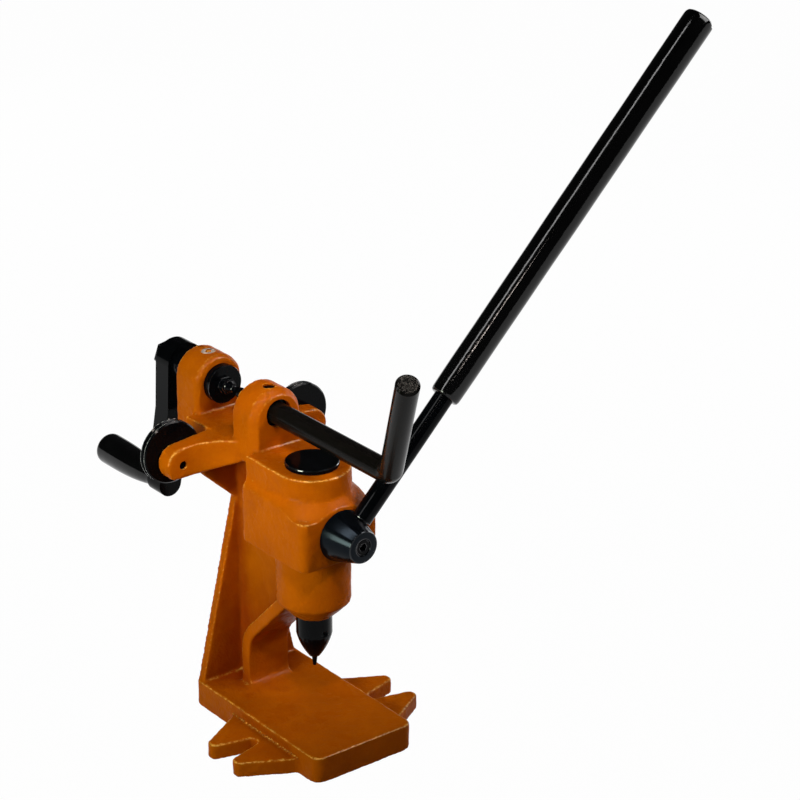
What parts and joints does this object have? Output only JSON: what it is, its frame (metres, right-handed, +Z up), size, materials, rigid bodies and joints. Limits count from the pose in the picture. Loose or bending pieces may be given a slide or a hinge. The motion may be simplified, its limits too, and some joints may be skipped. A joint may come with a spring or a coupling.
{
  "type": "chainsaw chain breaker and riveter",
  "caption": "Bench tool for saw chain: a hand lever drives a ram and punch that press rivets out, and a cranked spindle against a screwed anvil spins new rivet heads.",
  "frame": {"origin": "on the underside of the base, straight below the ram's axis", "axes": "+Z up along the ram, +X toward the lever's side, -Y toward the front, where the hub and the screw's handle are"},
  "size_m": [0.3942, 0.3859, 0.4832],
  "materials": {
    "orange_enamel": "thick glossy orange enamel over rough cast iron",
    "blackened_steel": "oil-blackened, glossy",
    "satin_steel": "dark satin steel",
    "bright_steel": "bright steel",
    "spring_steel": "spring wire",
    "bronze": "sintered bronze",
    "black_vinyl": "glossy black vinyl"
  },
  "bodies": {
    "frame": {"frame_casting": "orange_enamel", "ram_cap": "blackened_steel", "ram_spring": "spring_steel", "shaft_bush": "bronze", "shaft_retaining_screw": "blackened_steel", "pressure_bush": "blackened_steel", "bush_lock_screw": "blackened_steel", "spindle_bushes": "bronze", "spindle_oiler": "bright_steel", "left_roller_axle": "satin_steel", "right_roller_axle": "satin_steel"},
    "lever": {"lever_shaft": "satin_steel", "lever_hub": "blackened_steel", "hub_screw": "blackened_steel", "lever_rod": "blackened_steel", "lever_grip": "black_vinyl"},
    "ram": {"ram": "blackened_steel", "punch_pin": "satin_steel", "punch_set_screw": "blackened_steel"},
    "pressure_anvil": {"pressure_anvil": "blackened_steel"},
    "pressure_screw": {"pressure_screw": "satin_steel"},
    "spindle": {"spindle": "satin_steel", "rivet_anvil": "blackened_steel", "crank_arm": "blackened_steel", "crank_cross_pin": "bright_steel", "crank_nut": "blackened_steel", "grip_pin": "bright_steel"},
    "crank_grip": {"crank_grip": "black_vinyl"},
    "left_roller": {"left_roller": "blackened_steel"},
    "right_roller": {"right_roller": "blackened_steel"}
  },
  "joints": [
    {"name": "lever_swing", "type": "hinge", "parent": "frame", "child": "lever", "pos_m": [0, -0.0325, 0.168], "axis": [0, 1, 0], "range_deg": [0, 64], "stiffness_Nm_per_rad": 0.576, "springref_deg": -139.84},
    {"name": "ram_slide", "type": "slide", "parent": "frame", "child": "ram", "axis": [0, 0, -1], "range_m": [0, 0.01007], "stiffness_N_per_m": 700, "springref_m": -0.022, "deforming": ["ram_spring"]},
    {"name": "anvil_feed", "type": "slide", "parent": "frame", "child": "pressure_anvil", "axis": [0, -1, 0], "range_m": [0, 0.012]},
    {"name": "screw_turn", "type": "hinge", "parent": "pressure_anvil", "child": "pressure_screw", "pos_m": [0, 0, 0.2333], "axis": [0, -1, 0], "range_deg": [0, 2160]},
    {"name": "spindle_turn", "type": "hinge", "parent": "frame", "child": "spindle", "pos_m": [0, 0.12, 0.2333], "axis": [0, 1, 0], "continuous": true},
    {"name": "grip_turn", "type": "hinge", "parent": "spindle", "child": "crank_grip", "pos_m": [-0.01716, 0.2, 0.14332], "axis": [0, 1, 0], "continuous": true},
    {"name": "left_roller_turn", "type": "hinge", "parent": "frame", "child": "left_roller", "pos_m": [-0.055, 0.091, 0.1965], "axis": [0, 1, 0], "range_deg": [-180, 45]},
    {"name": "right_roller_turn", "type": "hinge", "parent": "frame", "child": "right_roller", "pos_m": [0.055, 0.091, 0.1965], "axis": [0, 1, 0], "range_deg": [-45, 180]}
  ],
  "couplings": [
    {"joint": "ram_slide", "follows": "lever_swing", "m_per_rad": 0.0090138},
    {"joint": "anvil_feed", "follows": "screw_turn", "m_per_rad": 0.00031831}
  ]
}
